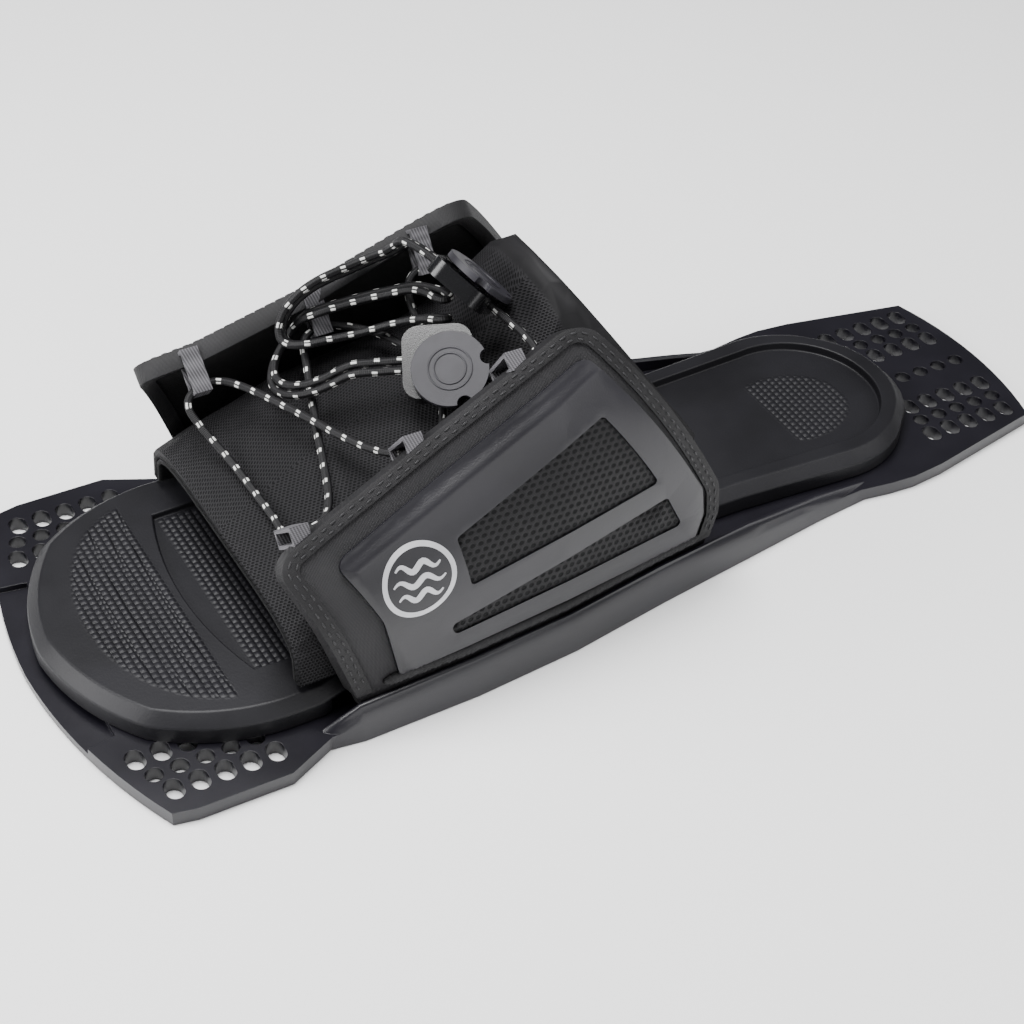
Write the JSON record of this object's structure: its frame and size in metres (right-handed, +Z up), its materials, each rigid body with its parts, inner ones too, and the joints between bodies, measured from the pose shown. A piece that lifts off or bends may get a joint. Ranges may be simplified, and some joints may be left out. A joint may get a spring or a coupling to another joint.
{
  "type": "rear toe plate binding",
  "caption": "Laced rear foot binding for a water ski: base plate with bolt grids, foam footbed, two side panels, mesh gusset, lace and two cord locks.",
  "frame": {"origin": "centre of the base plate on its underside", "axes": "+X to the heel, +Y to the far side panel, +Z up out of the plate"},
  "size_m": [0.347, 0.144, 0.1043],
  "materials": {
    "plate_nylon": "satin moulded nylon, polished on the side rails",
    "eva_foam": "matt EVA foam with moulded textures",
    "clamp_steel": "sawn strip",
    "screw_steel": "turned",
    "flange_webbing": "coarse polyester",
    "panel_leather": "fine cross-hatched synthetic leather",
    "foam_lining": "brushed knit over foam",
    "panel_moulding": "satin soft moulding",
    "window_mesh": "coarse three-layer mesh",
    "edge_binding": "rolled and stitched",
    "gusset_mesh": "woven mesh",
    "eye_webbing": "grey woven webbing",
    "lace_cord": "braided, with reflective flecks",
    "lock_housing": "glossy",
    "lock_button": "satin, embossed",
    "lock_plunger": "plain",
    "spring_steel": "bright"
  },
  "bodies": {
    "binding": {"base_plate": "plate_nylon", "far_ankle_eye": "eye_webbing", "far_clamp_screws": "screw_steel", "far_clamp_strip": "clamp_steel", "far_edge_binding": "edge_binding", "far_flange": "flange_webbing", "far_large_mesh_window": "window_mesh", "far_middle_eye": "eye_webbing", "far_moulding": "panel_moulding", "far_panel_leather": "panel_leather", "far_panel_lining": "foam_lining", "far_small_mesh_window": "window_mesh", "far_toe_eye": "eye_webbing", "footbed": "eva_foam", "gusset_lining": "foam_lining", "gusset_mesh": "gusset_mesh", "lace": "lace_cord", "lower_pull_cord": "lace_cord", "near_ankle_eye": "eye_webbing", "near_clamp_screws": "screw_steel", "near_clamp_strip": "clamp_steel", "near_edge_binding": "edge_binding", "near_flange": "flange_webbing", "near_large_mesh_window": "window_mesh", "near_middle_eye": "eye_webbing", "near_moulding": "panel_moulding", "near_panel_leather": "panel_leather", "near_panel_lining": "foam_lining", "near_small_mesh_window": "window_mesh", "near_toe_eye": "eye_webbing", "upper_pull_cord": "lace_cord"},
    "lower_lock": {"lower_lock_housing": "lock_housing", "lower_lock_spring": "spring_steel"},
    "lower_button": {"lower_lock_button": "lock_button", "lower_lock_plunger": "lock_plunger"},
    "upper_lock": {"upper_lock_housing": "lock_housing", "upper_lock_spring": "spring_steel"},
    "upper_button": {"upper_lock_button": "lock_button", "upper_lock_plunger": "lock_plunger"}
  },
  "joints": [
    {"name": "lower_lock_slide", "type": "slide", "parent": "binding", "child": "lower_lock", "axis": [-0.8626, 0.491, -0.1217], "range_m": [0, 0.008]},
    {"name": "lower_button_press", "type": "slide", "parent": "lower_lock", "child": "lower_button", "axis": [0.3799, 0.4699, -0.7968], "range_m": [0, 0.0011], "stiffness_N_per_m": 2000, "springref_m": -0.0005, "deforming": ["lower_lock_spring"]},
    {"name": "upper_lock_slide", "type": "slide", "parent": "binding", "child": "upper_lock", "axis": [-0.4308, 0.7995, 0.4186], "range_m": [0, 0.005]},
    {"name": "upper_button_press", "type": "slide", "parent": "upper_lock", "child": "upper_button", "axis": [-0.6969, 0, -0.7171], "range_m": [0, 0.0011], "stiffness_N_per_m": 2000, "springref_m": -0.0005, "deforming": ["upper_lock_spring"]}
  ]
}
